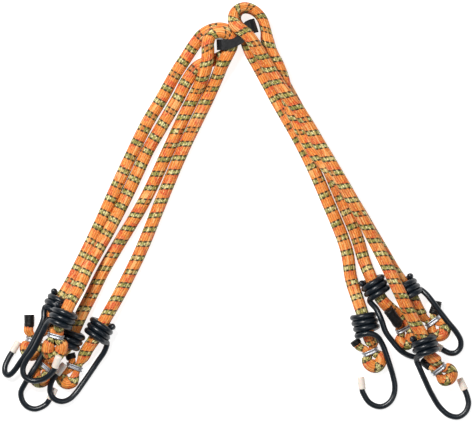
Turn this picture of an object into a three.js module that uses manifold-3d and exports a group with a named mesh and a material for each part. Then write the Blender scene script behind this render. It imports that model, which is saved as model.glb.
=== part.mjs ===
// Spider bungee strap: eight elastic arms with wire hooks, made of four cords
// folded at their middles and held together by one rubber link. It lies spread
// out in an inverted V. Millimetres, +Z up, the surface it lies on is z = 0.
import * as THREE from "three";
import { mergeVertices } from "three/addons/utils/BufferGeometryUtils.js";
import Module from "manifold-3d";

const wasm = await Module();
wasm.setup();

// Cord: rubber core in a braided sleeve. Clips squeeze it to the clamped radius.
const CORD_SIDES = 8;
const CORD_STEP = 22;
const CLAMP_RADIUS = 2;

// Hook: steel wire with a plastic coat, its own coil gripping the cord.
const WIRE_RADIUS = 1.8;
const WIRE_SIDES = 8;
const COIL_RADIUS = 6.6;
const COIL_PITCH = 3.7;
const COIL_TURNS = 3;
const COIL_STEPS_PER_TURN = 16;
const SHANK_STEPS = 2;

// Tip cap: moulded sleeve with a round end, pushed on the bare end of the wire.
const CAP_LENGTH = 8;
const CAP_RADIUS = 2.3;
const CORE_RADIUS = 1.3;
const CORE_SHOULDER = 0.02;
const CAP_WALL = 0.5;
const CAP_DOME = [[0, 1], [0.6, 0.96], [1.2, 0.8], [1.55, 0.5]];

// Clip: metal band pressed round the two legs of the doubled end. The legs run
// straight through it and on for CLAMP_RUN_OUT, clear of other route points.
const CLIP_LENGTH = 3.2;
const CLIP_WALL = 0.7;
const CLIP_HALF_WIDTH = 5;
const CLIP_HALF_HEIGHT = 2.5;
const CLIP_CORNER_STEPS = 6;
const CLAMP_RUN_OUT = 0.9;
const CLAMP_SPAN = CLIP_LENGTH / 2 + CLAMP_RUN_OUT;
const CLAMP_CLEAR = 1.2;
const CLAMP_NEIGHBOURS = 3;

// Tape: black sleeve shrunk over the cut end of each cord, one length an arm.
const TAPE_RADIUS = 3.4;
const TAPE_WALL = 0.6;
const TAPE_TO_CLIP = 1.2;
const TAPE_LENGTHS = [6.5, 5, 2.6, 2.6, 2.4, 11, 5.5, 7.5];

// Link: flat rubber ring, bent in plan, that the cords pass through. It widens
// towards its open end, one width for each point of its plan line.
const LINK_WIDTHS = [6.9, 6.7, 5.4, 5.8, 7.6, 8.8, 9];
const LINK_WALL = 1.6;
const LINK_HEIGHT = 20.1;
const LINK_CORNER = 5;
const LINK_CORNER_STEPS = 4;
const LINK_STEP = 2.5;
const LINK_PLAN = [
  [-12.5, 108.9], [-6.6, 109.1], [-2.2, 109.9], [1.6, 111.8],
  [4.3, 115.4], [7.5, 119.5], [12.4, 121.1],
];

// Clearance between two pieces that touch, and the distance that welds vertices.
const GAP = 0.3;
const WELD = 1e-4;

const FINISHES = {
  cord: { color: new THREE.Color(0.86, 0.33, 0.09), roughness: 0.85, metalness: 0 },
  wire: { color: new THREE.Color(0.02, 0.025, 0.035), roughness: 0.4, metalness: 0 },
  cap: { color: new THREE.Color(0.82, 0.7, 0.63), roughness: 0.5, metalness: 0 },
  clip: { color: new THREE.Color(0.72, 0.73, 0.75), roughness: 0.3, metalness: 1 },
  tape: { color: new THREE.Color(0.015, 0.015, 0.017), roughness: 0.7, metalness: 0 },
  link: { color: new THREE.Color(0.02, 0.022, 0.028), roughness: 0.6, metalness: 0 },
};

// A cord's route: x, y, z of its centre line and its radius there. The radius
// is CLAMP_RADIUS where a clip squeezes it.
// Left outer cord: from the taped end of arm 1, round its bight, up strand 1,
// over the top, back through the link, down strand 2 to the taped end of arm 2.
const CORD_A_ROUTE = [
  [-129.6, -60.8, 4.2, 2.7], [-129.6, -65.4, 4.2, 2.8], [-130, -69.8, 4.1, 3.2],
  [-128.8, -75.3, 4, 2], [-131.3, -78.9, 4, 3.4], [-131.4, -82.4, 4, 3.6],
  [-128.5, -85, 4, 3.7], [-124.8, -83.4, 4, 3.6], [-123.4, -79.9, 4, 3.4],
  [-124.4, -76.3, 4.1, 2], [-121.4, -70.3, 5.6, 3.5], [-118.4, -64.6, 7.4, 3.9],
  [-114.7, -58.4, 8.3, 3.9], [-111.6, -53.2, 8.3, 3.9], [-108.3, -47.9, 8.2, 3.9],
  [-103.2, -39.1, 6.2, 4], [-96.9, -26.9, 4.1, 4], [-85.7, -3.8, 4, 4],
  [-71.6, 27.4, 4, 4], [-56, 59.6, 4, 4], [-46.9, 74.9, 4, 4],
  [-37.6, 91.5, 4, 4], [-30.9, 101.8, 4.2, 4], [-26.6, 108.4, 4.8, 4],
  [-21.5, 114.8, 5.6, 4], [-15.4, 118.2, 5.9, 4], [-9, 118.9, 5.9, 3.9],
  [-4.6, 117.3, 5.9, 3.8], [-2.7, 114.3, 5.9, 3.9], [-3.1, 109.4, 5.9, 3.9],
  [-5.3, 104.7, 5.7, 3.9], [-10.3, 100.8, 4.7, 4], [-17.6, 98.2, 4.1, 4],
  [-24.6, 94.8, 4, 4], [-30.6, 86.8, 4, 4], [-37.3, 74, 4, 4],
  [-46.8, 57.7, 4, 4], [-55.3, 43.1, 4, 4], [-62.3, 28.1, 4.4, 4],
  [-70, 11.8, 5.8, 4], [-78.3, -4.4, 8.8, 4], [-86.3, -18.8, 12.2, 4],
  [-93.2, -31.3, 16.4, 4], [-99.1, -43.8, 21.4, 4], [-104.5, -53.6, 24.8, 3.9],
  [-107, -58.4, 25.2, 3.9], [-109.2, -62.9, 25.2, 3.9], [-110.8, -67.6, 24.2, 3.5],
  [-110.9, -73.6, 21.4, 2], [-109.1, -78.1, 20.9, 3.4], [-110.3, -82.7, 18.8, 3.5],
  [-114.4, -86.8, 15.6, 3.7], [-117.6, -83.6, 17.6, 3.6], [-117.3, -77.9, 20, 3.4],
  [-115.1, -72.4, 20.6, 2], [-115.5, -67.6, 19.9, 2.2], [-117.6, -64.2, 17.2, 2.6],
];

// Left inner cord: arm 3, strand 3, over the top and down through the link, strand 4, arm 4.
const CORD_B_ROUTE = [
  [-112.9, -91, 4, 2.7], [-114.8, -92.1, 4, 2.6], [-118, -93.8, 4, 2],
  [-118.6, -96.9, 4, 3.2], [-119.9, -100.4, 4, 3.6], [-123.8, -101.8, 4, 3.7],
  [-126.3, -98.6, 4, 3.6], [-125.1, -94.4, 4, 3.3], [-121.4, -90.8, 4, 2],
  [-118.1, -86.4, 6.2, 3.2], [-112.6, -83.8, 7.6, 3.9], [-107.5, -81.5, 8.3, 3.9],
  [-104.4, -75.7, 8.3, 3.9], [-101.4, -69.6, 8.3, 3.9], [-96, -57.6, 6.4, 4],
  [-91.6, -49.1, 4.6, 4], [-83.1, -31.9, 4, 4], [-75.5, -18.8, 4, 4],
  [-57.5, 11.5, 4, 4], [-42.9, 42.4, 4, 4], [-33.4, 62.7, 4, 4],
  [-27.5, 74.6, 4, 4], [-22.9, 84, 6.6, 4], [-19.9, 92.1, 11.2, 4],
  [-18.3, 99.3, 13.2, 4], [-17.9, 104.9, 14.2, 4], [-18, 110.2, 14.2, 4],
  [-15.7, 115.4, 14.2, 4], [-10.7, 116.7, 14.2, 4], [-6.1, 115.7, 14.2, 3.9],
  [-3.4, 112.4, 14.2, 3.9], [-3, 108.4, 14.2, 3.9], [-4.8, 104.3, 14, 3.9],
  [-7.3, 99.6, 13.2, 4], [-9.6, 94.8, 10.8, 4], [-13, 86.5, 6.2, 4],
  [-18.1, 75.2, 4, 4], [-33.6, 43.1, 4, 4], [-46.9, 11.8, 4, 4],
  [-59.6, -19.4, 4, 4], [-69, -38.8, 4.3, 4], [-76.6, -52.9, 7, 4],
  [-82.9, -63.9, 8.3, 3.9], [-85.7, -69.1, 8.3, 3.9], [-88.4, -74.3, 8.3, 3.9],
  [-93.3, -81.6, 6.4, 3.8], [-96.3, -87.3, 4.8, 3.3], [-99.4, -93.4, 4, 2],
  [-99.6, -96.6, 4, 3.4], [-102.3, -101.3, 4, 3.5], [-106.4, -102.6, 4, 3.5],
  [-109.5, -99.2, 4, 3.5], [-107.9, -95.1, 4, 3.4], [-103.7, -91.8, 4, 2],
  [-103.9, -85.2, 3.7, 2.7],
];

// Right upper cord: arm 8, strand 8, the front loop over the link, strand 7, arm 7.
const CORD_C_ROUTE = [
  [124.9, -52.4, 4.6, 2.7], [124.5, -55.3, 4.3, 2.7], [123.5, -58.3, 4.1, 2.4],
  [124.4, -62.9, 4, 2], [128.3, -64.7, 4, 3.3], [130.2, -68.1, 4, 3.5],
  [128.7, -72.2, 4, 3.7], [124.4, -72.6, 4, 3.6], [121.9, -69.4, 4, 3.3],
  [120.8, -65.6, 4, 2], [115.9, -60.8, 5.2, 3.4], [112.1, -53.9, 7.2, 3.9],
  [109.7, -48.9, 8.3, 3.9], [106.2, -43.8, 8.3, 3.9], [102.7, -38.6, 8.3, 3.9],
  [97.4, -31, 7, 4], [92.4, -22.3, 4.9, 4], [85.2, -10.1, 4.2, 4],
  [77.7, 2.7, 8, 4], [70.6, 14, 12.2, 4], [58.4, 29.9, 12.3, 4],
  [47.2, 43.4, 11.6, 4], [36, 64.3, 11.6, 4], [31.8, 75.6, 12.5, 4],
  [29.1, 87.4, 12.4, 4], [25.9, 95.9, 12.4, 4], [22.1, 103.4, 12.4, 4],
  [19.7, 110.6, 12.4, 3.5], [18.5, 117.8, 12, 3.1], [16, 125.3, 12, 3],
  [11.6, 130.3, 12.8, 3], [6.2, 132.5, 14.6, 3], [1.2, 131.4, 17, 3.1],
  [-1.8, 127.9, 19.8, 3.2], [-1.9, 123.4, 22.6, 3.3], [0.7, 119.8, 24.4, 3.6],
  [5.6, 116.3, 24.7, 3.9], [9.9, 111.3, 24.7, 3.9], [13.4, 105.6, 23.4, 4],
  [18.1, 97.9, 21.2, 4], [23, 89.7, 20, 4], [29.9, 79.3, 20.9, 4],
  [39.5, 66.8, 19.6, 4], [53.9, 43.1, 19.2, 4], [63.2, 27.4, 20.8, 4],
  [72.2, 11.8, 20.8, 4], [80.1, -2.3, 18.6, 4], [86.9, -15.4, 17.4, 4],
  [94.6, -30.7, 19.4, 4], [100.7, -43.5, 20.6, 4], [106.9, -56.6, 19.8, 4],
  [112.5, -66.6, 17.8, 4], [116.1, -73.2, 17.5, 3.9], [117.6, -79.1, 17.5, 3.8],
  [120.2, -84.8, 17.1, 3.4], [124.9, -88.9, 15, 3.5], [128.1, -92.4, 12.8, 2],
  [131.9, -93.4, 11.6, 3.3], [134.6, -96.2, 10, 3.4], [133, -99.8, 8.8, 3.5],
  [129, -100.7, 9, 3.4], [125.9, -98.3, 10.8, 3.3], [124.5, -95.1, 11.4, 2],
  [120.5, -91.6, 11.2, 2.5], [117.5, -88.9, 9.4, 2.7],
];

// Right lower cord: arm 5, strand 5, up through the link, round under cord C, strand 6, arm 6.
const CORD_D_ROUTE = [
  [74.2, -76.6, 4.6, 2.7], [76.6, -79.8, 4.3, 2.7], [79.4, -81.9, 4.2, 2.4],
  [81.6, -84.1, 4, 2], [81.6, -87.8, 4, 3.3], [83.5, -91.2, 4, 3.6],
  [87.4, -92.4, 4, 3.7], [90, -89.1, 4, 3.6], [88.9, -85.2, 4, 3.3],
  [85.7, -82.3, 4, 2], [85.1, -78.4, 5, 3.3], [83.4, -75.2, 6.6, 3.8],
  [82, -71.4, 8.3, 3.9], [80.4, -65.4, 8.3, 3.9], [78.7, -59.4, 8.3, 3.9],
  [75.6, -50.2, 6.2, 4], [71.6, -37.4, 4.1, 4], [68.7, -19.4, 4, 4],
  [56.5, 11.8, 4, 4], [42.4, 43.1, 4, 4], [25, 74.2, 4, 4],
  [17.4, 88.4, 4, 4], [13, 96.5, 4.2, 4], [9.5, 102.7, 6.6, 4],
  [7.1, 108.4, 9.6, 4], [5.2, 113.7, 11.4, 3.8], [2, 118.9, 11.2, 3.5],
  [-0.1, 123.4, 9.4, 3.2], [0, 127.6, 6.4, 3.1], [2.5, 130.7, 4.6, 3.1],
  [6.6, 131.4, 3.6, 3.1], [11.4, 129.6, 3.6, 3.1], [15.6, 125.1, 3.6, 3.1],
  [18.2, 117.4, 3.6, 3.2], [19.1, 110.6, 3.8, 3.6], [21.4, 103.1, 4, 4],
  [25.1, 95.2, 4, 4], [28.9, 86.1, 4, 4], [35.5, 73.9, 4, 4],
  [52, 43.1, 4, 4], [65.7, 11.8, 4, 4], [75, -10.7, 4, 4],
  [79.6, -25.7, 4.8, 4], [84.4, -37.8, 8.3, 3.9], [87.1, -43.6, 8.3, 3.9],
  [90, -49.4, 8.3, 3.9], [94.4, -54.6, 7.2, 3.7], [102.4, -61.3, 4.8, 3.3],
  [106.4, -67.1, 4.1, 2], [108.9, -70.3, 4, 3.3], [109.1, -74.8, 4, 3.6],
  [106.2, -78.4, 4, 3.7], [102.2, -76.3, 4.2, 3.6], [101.4, -72.1, 4.6, 3.4],
  [102.2, -69.4, 5.3, 2], [100.5, -65.1, 10.4, 2.3], [95.5, -57.8, 15, 2.7],
];

// Each hook: the middle of its coil, the coil's axis towards the hook's bend,
// the angle round the axis where the coil ends, its sense and the wire after it.
const HOOKS = [
  {
    collar: [-111.6, -53.2, 8.4],
    axis: [-0.54, -0.84],
    lastTurn: 150,
    sense: 1,
    shank: [
      [-120.4, -57.8, 13], [-120.6, -62.2, 14], [-122.9, -68.2, 13.8], [-125.4, -73.2, 13.4],
      [-130, -81.9, 12.8], [-135.3, -89.6, 11], [-139.6, -95.6, 8.4], [-142.5, -97.7, 6.6],
      [-144.6, -96.4, 4.8], [-144.8, -92.3, 3.4], [-142.6, -87.1, 2.9], [-140.8, -84.1, 2.8],
      [-136.3, -76.4, 2.8],
    ],
  },
  {
    collar: [-108.5, -61.2, 25.4],
    axis: [-0.45, -0.89],
    lastTurn: 150,
    sense: 1,
    shank: [
      [-118.9, -66.4, 25.2], [-121.1, -70.7, 23.8], [-123.6, -75.8, 21], [-127.5, -82.9, 17],
      [-131.7, -88.8, 14.6], [-133.6, -94.1, 13.6], [-132.5, -98.4, 13.4], [-128.1, -101.1, 13.6],
      [-122.3, -100.6, 14.8], [-117.1, -97.8, 17.2], [-114.1, -94.4, 20.2], [-111.1, -85.7, 24],
    ],
  },
  {
    collar: [-103.8, -74.3, 8.4],
    axis: [-0.45, -0.89],
    lastTurn: 150,
    sense: 1,
    shank: [
      [-113.1, -76.8, 10.4], [-116.3, -79.8, 10.4], [-120.1, -83.4, 10.1], [-125.1, -91.3, 9.8],
      [-129.1, -97.8, 9.4], [-132.4, -103.2, 6.6], [-134.8, -108.2, 4], [-134, -113.4, 2.6],
      [-130.8, -117.3, 1.8], [-126, -118.8, 1.8], [-121.1, -117.2, 1.8], [-118.9, -115.6, 1.8],
      [-117.5, -113.8, 2.4], [-113.4, -105.8, 2.4],
    ],
  },
  {
    collar: [-85.7, -69.1, 8.4],
    axis: [-0.47, -0.88],
    lastTurn: 30,
    sense: -1,
    shank: [
      [-81, -77.6, 7.6], [-82.5, -82.6, 5.6], [-87, -89.4, 3.6], [-94.8, -100.9, 2.6],
      [-101, -109.4, 3], [-105, -112.9, 4.2], [-109.6, -114.1, 5.6], [-113.9, -112.6, 6.3],
      [-116.4, -108.7, 6.8], [-116.3, -103.8, 8.2], [-114.4, -99.4, 9.6], [-113.2, -97.9, 10.2],
      [-107.4, -90.7, 10.8],
    ],
  },
  {
    collar: [80.4, -65.4, 8.4],
    axis: [0.27, -0.96],
    lastTurn: 180,
    sense: -1,
    shank: [
      [75.6, -73.4, 11.6], [78.6, -72.3, 14.4], [83.1, -71.6, 15.2], [87.4, -73.2, 13.4],
      [90.7, -77.6, 10.6], [93.9, -85.7, 8.2], [95.9, -91.9, 6.4], [97.5, -97.3, 4.2],
      [98.9, -104.4, 2.6], [98.2, -110.1, 1.8], [95.6, -114.6, 1.8], [91.1, -117.2, 1.8],
      [86.6, -116.8, 1.8], [82.4, -114.2, 1.8], [79.5, -109.7, 1.8], [78.6, -107.8, 2.4],
      [77.5, -98.6, 2.4],
    ],
  },
  {
    collar: [86.4, -42.3, 8.4],
    axis: [0.447, -0.894],
    lastTurn: 150,
    sense: 1,
    shank: [
      [83.2, -51.3, 9.8], [87.5, -56.6, 13.4], [90.5, -63.1, 15.2], [93.1, -70.4, 13.8],
      [97.7, -76.9, 10.8], [102.6, -82.4, 8.2], [107.6, -85.3, 4.6], [112.2, -86.3, 2.8],
      [116.1, -84.3, 1.8], [117.2, -80.3, 1.8], [116.8, -77.4, 2.4], [115.2, -68.4, 2.4],
    ],
  },
  {
    collar: [117.6, -78.7, 17.6],
    axis: [0.24, -0.97],
    lastTurn: 150,
    sense: 1,
    shank: [
      [112.6, -88.8, 17.4], [114.2, -92.8, 16.8], [117.1, -99.4, 13.4], [121.9, -109.6, 7.4],
      [127.1, -117.8, 3.4], [132.9, -122.7, 1.8], [138.5, -123.7, 1.8], [142.9, -120.9, 1.8],
      [144.9, -115.7, 1.8], [144.1, -110.9, 1.8], [143.1, -108.1, 2.4], [139.3, -99.6, 2.4],
    ],
  },
  {
    collar: [106.2, -43.8, 8.4],
    axis: [0.56, -0.83],
    lastTurn: 30,
    sense: -1,
    shank: [
      [115, -44.2, 8.8], [118.5, -46.9, 9.6], [122.4, -51.7, 10.4], [127.2, -58.2, 10.4],
      [132.2, -64.6, 9], [137.1, -70.6, 6], [140, -76.1, 3.4], [139.7, -80.7, 2.3],
      [136.7, -83.7, 1.8], [132.9, -83.8, 1.8], [129.7, -82.3, 2.4], [121.4, -77.3, 2.4],
    ],
  },
];

function toManifold(geometry) {
  const merged = mergeVertices(geometry, WELD);
  return new wasm.Manifold(new wasm.Mesh({
    numProp: 3,
    vertProperties: new Float32Array(merged.getAttribute("position").array),
    triVerts: new Uint32Array(merged.index.array),
  }));
}

function toGeometry(manifold) {
  const mesh = manifold.getMesh();
  const geometry = new THREE.BufferGeometry();
  const points = new Float32Array(mesh.vertProperties);
  const corners = new Uint32Array(mesh.triVerts);
  geometry.setAttribute("position", new THREE.BufferAttribute(points, 3));
  geometry.setIndex(new THREE.BufferAttribute(corners, 1));
  geometry.computeVertexNormals();
  return geometry;
}

// The unit tangent at each station.
function tangentsOf(stations) {
  return stations.map((station, i) => {
    const before = stations[Math.max(i - 1, 0)].p;
    const after = stations[Math.min(i + 1, stations.length - 1)].p;
    return after.clone().sub(before).normalize();
  });
}

// A round bar through the stations: a straight extrusion with one step a
// station, whose rings are then carried along the path without twist.
function sweep(stations, sides) {
  const section = new THREE.Shape();
  for (let k = 0; k < sides; k++) {
    const angle = (2 * Math.PI * k) / sides;
    if (k === 0) section.moveTo(Math.cos(angle), Math.sin(angle));
    else section.lineTo(Math.cos(angle), Math.sin(angle));
  }
  section.closePath();
  const spans = stations.length - 1;
  const extrusion = { depth: spans, steps: spans, bevelEnabled: false };
  const bar = new THREE.ExtrudeGeometry(section, extrusion);
  const tangents = tangentsOf(stations);
  const up = new THREE.Vector3(0, 0, 1);
  let normal = up.clone().addScaledVector(tangents[0], -tangents[0].z).normalize();
  const normals = [normal];
  for (let i = 1; i <= spans; i++) {
    const turn = new THREE.Quaternion().setFromUnitVectors(tangents[i - 1], tangents[i]);
    normal = normal.clone().applyQuaternion(turn);
    normal.addScaledVector(tangents[i], -normal.dot(tangents[i])).normalize();
    normals.push(normal);
  }
  const position = bar.getAttribute("position");
  const vertex = new THREE.Vector3();
  for (let i = 0; i < position.count; i++) {
    vertex.fromBufferAttribute(position, i);
    const ring = Math.round(vertex.z);
    const { p, r } = stations[ring];
    const side = tangents[ring].clone().cross(normals[ring]);
    const moved = p.clone().addScaledVector(normals[ring], vertex.x * r);
    moved.addScaledVector(side, vertex.y * r);
    position.setXYZ(i, moved.x, moved.y, moved.z);
  }
  bar.deleteAttribute("normal");
  bar.deleteAttribute("uv");
  const closed = mergeVertices(bar, WELD);
  closed.computeVertexNormals();
  return closed;
}

// Stations on a smooth curve through the route's points, none below the floor.
function routeStations(route) {
  const points = route.map(([x, y, z]) => new THREE.Vector3(x, y, z));
  const curve = new THREE.CatmullRomCurve3(points);
  const stations = [];
  for (let i = 0; i < route.length - 1; i++) {
    const steps = Math.ceil(points[i].distanceTo(points[i + 1]) / CORD_STEP);
    for (let k = 0; k < steps; k++) {
      const p = curve.getPoint((i + k / steps) / (route.length - 1));
      const r = THREE.MathUtils.lerp(route[i][3], route[i + 1][3], k / steps);
      p.z = Math.max(p.z, r);
      stations.push({ p, r, clamped: k === 0 && r === CLAMP_RADIUS });
    }
  }
  const last = route.length - 1;
  stations.push({ p: points[last], r: route[last][3], clamped: false });
  return stations;
}

// The places of the clamped stations, in order along the cord.
function clampedPlaces(stations) {
  return stations.map((station, i) => (station.clamped ? i : -1)).filter((i) => i >= 0);
}

// The two legs that a clip holds run side by side and keep the clamped radius
// over its whole length. Each pair gets the clip's axis.
function withClamps(stations) {
  const tangents = tangentsOf(stations);
  const clamped = clampedPlaces(stations);
  const reach = CLAMP_SPAN + CLAMP_CLEAR;
  const result = [];
  stations.forEach((station, i) => {
    const order = clamped.indexOf(i);
    if (order < 0) {
      const near = clamped.filter((c) => Math.abs(c - i) < CLAMP_NEIGHBOURS);
      const crowded = near.some((c) => station.p.distanceTo(stations[c].p) < reach);
      if (!crowded) result.push(station);
      return;
    }
    const partner = clamped[order % 2 === 0 ? order + 1 : order - 1];
    const across = stations[partner].p.clone().sub(station.p).normalize();
    const axis = tangents[i].clone().sub(tangents[partner]);
    axis.addScaledVector(across, -axis.dot(across)).normalize();
    for (const along of [-CLAMP_SPAN, 0, CLAMP_SPAN]) {
      const p = station.p.clone().addScaledVector(axis, along);
      result.push({ p, r: CLAMP_RADIUS, clamped: along === 0 });
    }
  });
  return result;
}

// The part of a path between two distances from its start. Before the start it
// goes straight on.
function stretch(stations, from, to) {
  const first = stations[0];
  const back = tangentsOf(stations)[0].multiplyScalar(from);
  const result = from < 0 ? [{ p: first.p.clone().add(back), r: first.r }] : [];
  let travelled = 0;
  stations.forEach((station, i) => {
    if (i > 0) {
      const previous = stations[i - 1];
      const span = station.p.distanceTo(previous.p);
      if (travelled < to && travelled + span >= to) {
        const share = (to - travelled) / span;
        const p = previous.p.clone().lerp(station.p, share);
        result.push({ p, r: THREE.MathUtils.lerp(previous.r, station.r, share) });
      }
      travelled += span;
    }
    if (travelled >= from && travelled < to) result.push(station);
  });
  return result;
}

// One solid less another, both round bars.
function bored(outer, inner, sides) {
  const solid = toManifold(sweep(outer, sides));
  return toGeometry(solid.subtract(toManifold(sweep(inner, sides))));
}

// A closed-ended sleeve on a cord's end, as long as wanted where its clip allows.
function tapeSleeve(stations, wanted) {
  let toClip = 0;
  for (let i = 1; !stations[i].clamped; i++) {
    toClip += stations[i].p.distanceTo(stations[i - 1].p);
  }
  const length = Math.min(wanted, toClip - CLIP_LENGTH / 2 - TAPE_TO_CLIP);
  const covered = stretch(stations, -GAP - TAPE_WALL, length);
  const hollow = stretch(stations, -GAP, length + TAPE_WALL);
  const outer = covered.map(({ p }) => ({ p, r: TAPE_RADIUS }));
  const inner = hollow.map(({ p, r }) => ({ p, r: r + GAP }));
  return bored(outer, inner, CORD_SIDES);
}

function stadium(halfWidth, halfHeight, shape) {
  const centre = halfWidth - halfHeight;
  for (const side of [1, -1]) {
    for (let k = 0; k <= CLIP_CORNER_STEPS; k++) {
      const angle = Math.PI * (k / CLIP_CORNER_STEPS - 0.5);
      const x = side * (centre + halfHeight * Math.cos(angle));
      const y = side * halfHeight * Math.sin(angle);
      if (side === 1 && k === 0) shape.moveTo(x, y);
      else shape.lineTo(x, y);
    }
  }
  shape.closePath();
  return shape;
}

// A band round two legs of one cord, across the line between them.
function clipBand(one, other, along) {
  const halfWidth = CLIP_HALF_WIDTH + CLIP_WALL;
  const outline = stadium(halfWidth, CLIP_HALF_HEIGHT + CLIP_WALL, new THREE.Shape());
  outline.holes.push(stadium(CLIP_HALF_WIDTH, CLIP_HALF_HEIGHT, new THREE.Path()));
  const extrusion = { depth: CLIP_LENGTH, steps: 1, bevelEnabled: false };
  const band = new THREE.ExtrudeGeometry(outline, extrusion);
  band.translate(0, 0, -CLIP_LENGTH / 2);
  const across = other.clone().sub(one).normalize();
  const axis = along.clone().addScaledVector(across, -along.dot(across)).normalize();
  const upright = axis.clone().cross(across);
  band.applyMatrix4(new THREE.Matrix4().makeBasis(across, upright, axis));
  const middle = one.clone().add(other).multiplyScalar(0.5);
  band.translate(middle.x, middle.y, middle.z);
  return toGeometry(toManifold(cleaned(band)));
}

function cleaned(geometry) {
  geometry.deleteAttribute("normal");
  geometry.deleteAttribute("uv");
  return geometry;
}

// The whole wire of a hook: its coil, its shank and bend, and its straight tip.
function hookStations({ collar, axis, lastTurn, sense, shank }) {
  const middle = new THREE.Vector3(...collar);
  const along = new THREE.Vector3(axis[0], axis[1], 0).normalize();
  const right = new THREE.Vector3(-along.y, along.x, 0);
  const up = new THREE.Vector3(0, 0, 1);
  const steps = COIL_TURNS * COIL_STEPS_PER_TURN;
  const wound = sense * 2 * Math.PI * COIL_TURNS;
  const coil = [];
  for (let i = 0; i <= steps; i++) {
    const share = i / steps;
    const angle = THREE.MathUtils.degToRad(lastTurn) - wound * (1 - share);
    const p = middle.clone();
    p.addScaledVector(along, (share - 0.5) * COIL_TURNS * COIL_PITCH);
    p.addScaledVector(right, COIL_RADIUS * Math.cos(angle));
    p.addScaledVector(up, COIL_RADIUS * Math.sin(angle));
    coil.push(p);
  }
  const after = shank.map((q) => new THREE.Vector3(...q));
  const tipEnd = after.pop();
  const guide = [...coil.slice(-3), ...after];
  const curve = new THREE.CatmullRomCurve3(guide);
  const points = [...coil];
  for (let i = 2 * SHANK_STEPS + 1; i <= (guide.length - 1) * SHANK_STEPS; i++) {
    const p = curve.getPoint(i / ((guide.length - 1) * SHANK_STEPS));
    p.z = Math.max(p.z, WIRE_RADIUS);
    points.push(p);
  }
  const stations = points.map((p) => ({ p, r: WIRE_RADIUS }));
  const tipStart = guide[guide.length - 1];
  const tipAxis = tipEnd.clone().sub(tipStart).normalize();
  const at = (back, r) => ({ p: tipEnd.clone().addScaledVector(tipAxis, -back), r });
  stations.push(at(CAP_LENGTH + GAP, WIRE_RADIUS));
  stations.push(at(CAP_LENGTH + GAP - CORE_SHOULDER, CORE_RADIUS));
  stations.push(at(CAP_WALL + GAP, CORE_RADIUS));
  return { stations, at };
}

// The cap on a hook's bare end; at gives a station back from the tip.
function tipCap(at) {
  const domeLength = CAP_DOME[CAP_DOME.length - 1][0];
  const dome = CAP_DOME.map(([along, share]) => at(domeLength - along, CAP_RADIUS * share));
  const outer = [at(CAP_LENGTH, CAP_RADIUS), ...dome];
  const boreRadius = CORE_RADIUS + GAP;
  const bore = [at(CAP_LENGTH + CAP_WALL, boreRadius), at(CAP_WALL, boreRadius)];
  return bored(outer, bore, WIRE_SIDES);
}

// Points round the link's side view: the middle of the rounding that each lies
// on, and the direction from there to the outline. Only the level runs are split.
function linkOutline(length) {
  const far = length - LINK_CORNER;
  const high = LINK_HEIGHT - LINK_CORNER;
  const corners = [
    [far, LINK_CORNER, -90],
    [far, high, 0],
    [LINK_CORNER, high, 90],
    [LINK_CORNER, LINK_CORNER, 180],
  ];
  const points = [];
  corners.forEach(([x, z, start], index) => {
    for (let k = 0; k <= LINK_CORNER_STEPS; k++) {
      points.push({ x, z, angle: THREE.MathUtils.degToRad(start + (90 * k) / LINK_CORNER_STEPS) });
    }
    const [nextX] = corners[(index + 1) % corners.length];
    const steps = Math.ceil(Math.abs(nextX - x) / LINK_STEP);
    const { angle } = points[points.length - 1];
    for (let k = 1; k < steps; k++) {
      points.push({ x: THREE.MathUtils.lerp(x, nextX, k / steps), z, angle });
    }
  });
  return points;
}

// The link: four corners of the band at each point of its side view, bent along
// its plan line.
function linkRing() {
  const plan = new THREE.SplineCurve(LINK_PLAN.map(([x, y]) => new THREE.Vector2(x, y)));
  const widths = new THREE.SplineCurve(LINK_WIDTHS.map((w, i) => new THREE.Vector2(i, w)));
  const length = plan.getLength();
  const inner = LINK_CORNER - LINK_WALL;
  const band = [[LINK_CORNER, 0.5], [LINK_CORNER, -0.5], [inner, -0.5], [inner, 0.5]];
  const vertices = [];
  const faces = [];
  const outline = linkOutline(length);
  outline.forEach(({ x, z, angle }, i) => {
    const next = (i + 1) % outline.length;
    band.forEach(([radius, side], k) => {
      const along = THREE.MathUtils.clamp((x + radius * Math.cos(angle)) / length, 0, 1);
      const share = plan.getUtoTmapping(along);
      const at = plan.getPoint(share);
      const t = plan.getTangent(share);
      const offset = side * widths.getPoint(share).y;
      vertices.push(at.x - t.y * offset, at.y + t.x * offset, z + radius * Math.sin(angle));
      const turn = (k + 1) % band.length;
      const [a, b] = [i * band.length + k, i * band.length + turn];
      const [c, d] = [next * band.length + turn, next * band.length + k];
      faces.push(a, c, b, a, d, c);
    });
  });
  const ring = new THREE.BufferGeometry();
  ring.setAttribute("position", new THREE.BufferAttribute(new Float32Array(vertices), 3));
  ring.setIndex(faces);
  return toGeometry(toManifold(ring));
}

const strap = new THREE.Group();

function add(name, geometry, finish) {
  const mesh = new THREE.Mesh(geometry, new THREE.MeshStandardMaterial(finish));
  mesh.name = name;
  strap.add(mesh);
}

// Which arm each end of a cord makes: the start of its route, then its end.
const CORDS = [
  { name: "cord_a", route: CORD_A_ROUTE, arms: [1, 2] },
  { name: "cord_b", route: CORD_B_ROUTE, arms: [3, 4] },
  { name: "cord_c", route: CORD_C_ROUTE, arms: [8, 7] },
  { name: "cord_d", route: CORD_D_ROUTE, arms: [5, 6] },
];

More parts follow.
